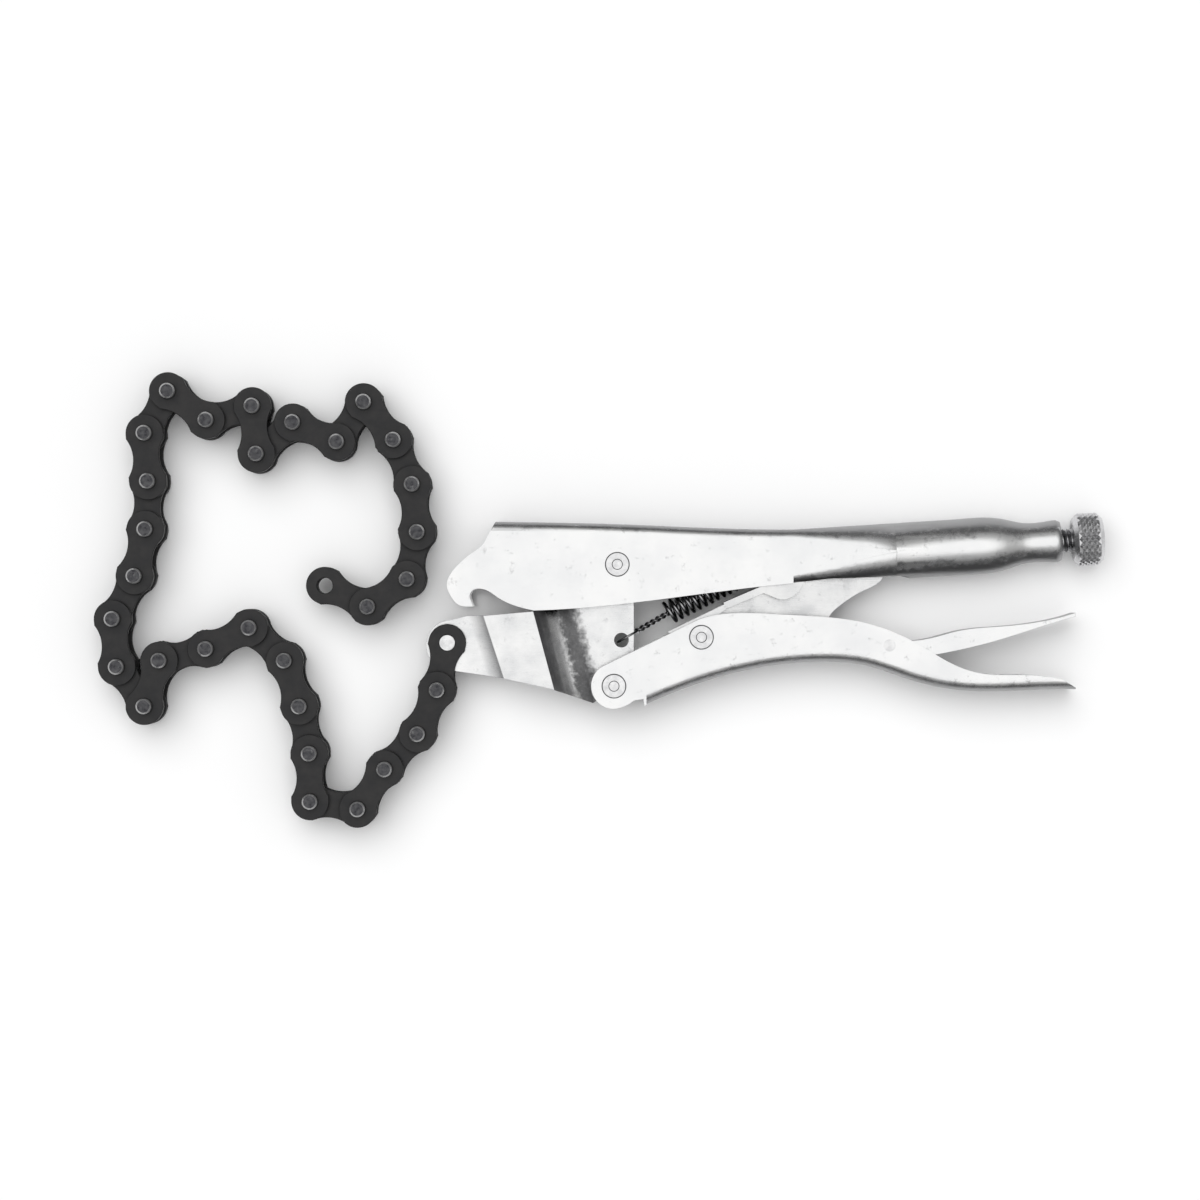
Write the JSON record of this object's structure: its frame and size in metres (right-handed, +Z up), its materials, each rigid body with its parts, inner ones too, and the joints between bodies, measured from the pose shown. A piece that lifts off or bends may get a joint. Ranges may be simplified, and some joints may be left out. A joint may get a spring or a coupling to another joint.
{
  "type": "chain locking pliers",
  "caption": "Locking pliers with a hooked channel handle, knurled adjusting screw, release lever and a pinned steel chain that wraps round a filter.",
  "frame": {"origin": "on the axis of the main rivet, at the flat end of that rivet that the tool lies on", "axes": "+X from the jaw towards the handles, +Y towards the upper handle's back, +Z up, across the tool"},
  "size_m": [0.334, 0.1503, 0.02],
  "materials": {
    "nickel_plate": "bright nickel plate",
    "spring_steel": "bright drawn wire",
    "chain_plate": "black oxide",
    "chain_pin": "polished black oxide"
  },
  "bodies": {
    "upper_handle": {"upper_handle": "nickel_plate", "main_rivet": "nickel_plate"},
    "lower_jaw": {"lower_jaw": "nickel_plate", "chain_anchor_pin": "nickel_plate", "tension_spring": "spring_steel"},
    "lower_handle": {"lower_handle": "nickel_plate", "jaw_rivet": "nickel_plate", "link_rivet": "nickel_plate", "release_pin": "nickel_plate"},
    "toggle_link": {"toggle_link_upper": "nickel_plate", "toggle_link_lower": "nickel_plate"},
    "release_lever": {"release_lever": "nickel_plate"},
    "adjusting_screw": {"adjusting_screw": "nickel_plate"},
    "adjusting_knob": {"adjusting_knob": "nickel_plate"},
    "link_01": {"chain_link_01": "chain_plate"},
    "link_02": {"chain_link_02": "chain_plate", "chain_pins_02": "chain_pin"},
    "link_03": {"chain_link_03": "chain_plate"},
    "link_04": {"chain_link_04": "chain_plate", "chain_pins_04": "chain_pin"},
    "link_05": {"chain_link_05": "chain_plate"},
    "link_06": {"chain_link_06": "chain_plate", "chain_pins_06": "chain_pin"},
    "link_07": {"chain_link_07": "chain_plate"},
    "link_08": {"chain_link_08": "chain_plate", "chain_pins_08": "chain_pin"},
    "link_09": {"chain_link_09": "chain_plate"},
    "link_10": {"chain_link_10": "chain_plate", "chain_pins_10": "chain_pin"},
    "link_11": {"chain_link_11": "chain_plate"},
    "link_12": {"chain_link_12": "chain_plate", "chain_pins_12": "chain_pin"},
    "link_13": {"chain_link_13": "chain_plate"},
    "link_14": {"chain_link_14": "chain_plate", "chain_pins_14": "chain_pin"},
    "link_15": {"chain_link_15": "chain_plate"},
    "link_16": {"chain_link_16": "chain_plate", "chain_pins_16": "chain_pin"},
    "link_17": {"chain_link_17": "chain_plate"},
    "link_18": {"chain_link_18": "chain_plate", "chain_pins_18": "chain_pin"},
    "link_19": {"chain_link_19": "chain_plate"},
    "link_20": {"chain_link_20": "chain_plate", "chain_pins_20": "chain_pin"},
    "link_21": {"chain_link_21": "chain_plate"},
    "link_22": {"chain_link_22": "chain_plate", "chain_pins_22": "chain_pin"},
    "link_23": {"chain_link_23": "chain_plate"},
    "link_24": {"chain_link_24": "chain_plate", "chain_pins_24": "chain_pin"},
    "link_25": {"chain_link_25": "chain_plate"},
    "link_26": {"chain_link_26": "chain_plate", "chain_pins_26": "chain_pin"},
    "link_27": {"chain_link_27": "chain_plate"},
    "link_28": {"chain_link_28": "chain_plate", "chain_pins_28": "chain_pin"},
    "link_29": {"chain_link_29": "chain_plate"},
    "link_30": {"chain_link_30": "chain_plate", "chain_pins_30": "chain_pin"},
    "link_31": {"chain_link_31": "chain_plate"}
  },
  "joints": [
    {"name": "jaw_pivot", "type": "hinge", "parent": "upper_handle", "child": "lower_jaw", "pos_m": [0, 0, 0.01], "axis": [0, 0, 1], "range_deg": [0, 12], "deforming": ["tension_spring"]},
    {"name": "handle_pivot", "type": "hinge", "parent": "lower_jaw", "child": "lower_handle", "pos_m": [-0.0011, -0.0401, 0.01], "axis": [0, 0, 1], "range_deg": [-44.7, 0]},
    {"name": "link_pivot", "type": "hinge", "parent": "lower_handle", "child": "toggle_link", "pos_m": [0.0277, -0.024, 0.01], "axis": [0, 0, 1], "range_deg": [0, 52.1]},
    {"name": "release_pivot", "type": "hinge", "parent": "lower_handle", "child": "release_lever", "pos_m": [0.0896, -0.0267, 0.01], "axis": [0, 0, 1], "range_deg": [-3, 0]},
    {"name": "screw_feed", "type": "slide", "parent": "upper_handle", "child": "adjusting_screw", "axis": [0.9981, 0.0621, 0], "range_m": [0, 0.012]},
    {"name": "knob_turn", "type": "hinge", "parent": "adjusting_screw", "child": "adjusting_knob", "pos_m": [0.15587, 0.0084, 0.01], "axis": [0.9981, 0.0621, 0], "range_deg": [0, 2890]},
    {"name": "chain_hinge_01", "type": "hinge", "parent": "lower_jaw", "child": "link_01", "pos_m": [-0.0562, -0.0259, 0.01], "axis": [0, 0, 1], "range_deg": [-18, 16]},
    {"name": "chain_hinge_02", "type": "hinge", "parent": "link_01", "child": "link_02", "pos_m": [-0.0595, -0.04143, 0.01], "axis": [0, 0, 1], "range_deg": [-4, 16]},
    {"name": "chain_hinge_03", "type": "hinge", "parent": "link_02", "child": "link_03", "pos_m": [-0.06596, -0.05593, 0.01], "axis": [0, 0, 1], "range_deg": [-4, 16]},
    {"name": "chain_hinge_04", "type": "hinge", "parent": "link_03", "child": "link_04", "pos_m": [-0.07678, -0.06754, 0.01], "axis": [0, 0, 1], "range_deg": [-2, 16]},
    {"name": "chain_hinge_05", "type": "hinge", "parent": "link_04", "child": "link_05", "pos_m": [-0.08566, -0.0807, 0.01], "axis": [0, 0, 1], "range_deg": [-2, 16]},
    {"name": "chain_hinge_06", "type": "hinge", "parent": "link_05", "child": "link_06", "pos_m": [-0.10134, -0.07822, 0.01], "axis": [0, 0, 1], "range_deg": [-1, 16]},
    {"name": "chain_hinge_07", "type": "hinge", "parent": "link_06", "child": "link_07", "pos_m": [-0.10162, -0.06235, 0.01], "axis": [0, 0, 1], "range_deg": [-1, 16]},
    {"name": "chain_hinge_08", "type": "hinge", "parent": "link_07", "child": "link_08", "pos_m": [-0.10492, -0.04682, 0.01], "axis": [0, 0, 1], "range_deg": [-2, 16]},
    {"name": "chain_hinge_09", "type": "hinge", "parent": "link_08", "child": "link_09", "pos_m": [-0.10982, -0.03172, 0.01], "axis": [0, 0, 1], "range_deg": [-1, 16]},
    {"name": "chain_hinge_10", "type": "hinge", "parent": "link_09", "child": "link_10", "pos_m": [-0.12144, -0.02089, 0.01], "axis": [0, 0, 1], "range_deg": [-1, 16]},
    {"name": "chain_hinge_11", "type": "hinge", "parent": "link_10", "child": "link_11", "pos_m": [-0.1357, -0.02785, 0.01], "axis": [0, 0, 1], "range_deg": [-1, 16]},
    {"name": "chain_hinge_12", "type": "hinge", "parent": "link_11", "child": "link_12", "pos_m": [-0.15111, -0.03169, 0.01], "axis": [0, 0, 1], "range_deg": [-1, 16]},
    {"name": "chain_hinge_13", "type": "hinge", "parent": "link_12", "child": "link_13", "pos_m": [-0.15601, -0.04679, 0.01], "axis": [0, 0, 1], "range_deg": [0, 16]},
    {"name": "chain_hinge_14", "type": "hinge", "parent": "link_13", "child": "link_14", "pos_m": [-0.16512, -0.03379, 0.01], "axis": [0, 0, 1], "range_deg": [-1, 16]},
    {"name": "chain_hinge_15", "type": "hinge", "parent": "link_14", "child": "link_15", "pos_m": [-0.1665, -0.01797, 0.01], "axis": [0, 0, 1], "range_deg": [-1, 16]},
    {"name": "chain_hinge_16", "type": "hinge", "parent": "link_15", "child": "link_16", "pos_m": [-0.15929, -0.00383, 0.01], "axis": [0, 0, 1], "range_deg": [-1, 16]},
    {"name": "chain_hinge_17", "type": "hinge", "parent": "link_16", "child": "link_17", "pos_m": [-0.15572, 0.01164, 0.01], "axis": [0, 0, 1], "range_deg": [-1, 18]},
    {"name": "chain_hinge_18", "type": "hinge", "parent": "link_17", "child": "link_18", "pos_m": [-0.15489, 0.02749, 0.01], "axis": [0, 0, 1], "range_deg": [-1, 18]},
    {"name": "chain_hinge_19", "type": "hinge", "parent": "link_18", "child": "link_19", "pos_m": [-0.156, 0.04333, 0.01], "axis": [0, 0, 1], "range_deg": [-3, 18]},
    {"name": "chain_hinge_20", "type": "hinge", "parent": "link_19", "child": "link_20", "pos_m": [-0.1483, 0.05722, 0.01], "axis": [0, 0, 1], "range_deg": [-7, 18]},
    {"name": "chain_hinge_21", "type": "hinge", "parent": "link_20", "child": "link_21", "pos_m": [-0.13562, 0.04766, 0.01], "axis": [0, 0, 1], "range_deg": [-6, 18]},
    {"name": "chain_hinge_22", "type": "hinge", "parent": "link_21", "child": "link_22", "pos_m": [-0.12044, 0.0523, 0.01], "axis": [0, 0, 1], "range_deg": [-6, 18]},
    {"name": "chain_hinge_23", "type": "hinge", "parent": "link_22", "child": "link_23", "pos_m": [-0.11906, 0.03649, 0.01], "axis": [0, 0, 1], "range_deg": [-6, 1]},
    {"name": "chain_hinge_24", "type": "hinge", "parent": "link_23", "child": "link_24", "pos_m": [-0.10708, 0.0469, 0.01], "axis": [0, 0, 1], "range_deg": [-6, 18]},
    {"name": "chain_hinge_25", "type": "hinge", "parent": "link_24", "child": "link_25", "pos_m": [-0.09258, 0.04045, 0.01], "axis": [0, 0, 1], "range_deg": [-4, 12]},
    {"name": "chain_hinge_26", "type": "hinge", "parent": "link_25", "child": "link_26", "pos_m": [-0.0837, 0.05361, 0.01], "axis": [0, 0, 1], "range_deg": [-3, 7]},
    {"name": "chain_hinge_27", "type": "hinge", "parent": "link_26", "child": "link_27", "pos_m": [-0.07393, 0.0411, 0.01], "axis": [0, 0, 1], "range_deg": [-23, 8]},
    {"name": "chain_hinge_28", "type": "hinge", "parent": "link_27", "child": "link_28", "pos_m": [-0.06772, 0.02648, 0.01], "axis": [0, 0, 1], "range_deg": [-21, 12]},
    {"name": "chain_hinge_29", "type": "hinge", "parent": "link_28", "child": "link_29", "pos_m": [-0.06606, 0.0107, 0.01], "axis": [0, 0, 1], "range_deg": [-20, 24]},
    {"name": "chain_hinge_30", "type": "hinge", "parent": "link_29", "child": "link_30", "pos_m": [-0.06936, -0.00483, 0.01], "axis": [0, 0, 1], "range_deg": [-37, 58]},
    {"name": "chain_hinge_31", "type": "hinge", "parent": "link_30", "child": "link_31", "pos_m": [-0.08237, -0.01394, 0.01], "axis": [0, 0, 1], "range_deg": [-45, 60]}
  ],
  "couplings": [
    {"joint": "handle_pivot", "follows": "jaw_pivot", "ratio": -3.6815},
    {"joint": "link_pivot", "follows": "jaw_pivot", "ratio": 4.3033},
    {"joint": "knob_turn", "follows": "screw_feed", "rad_per_m": 4188.8}
  ]
}
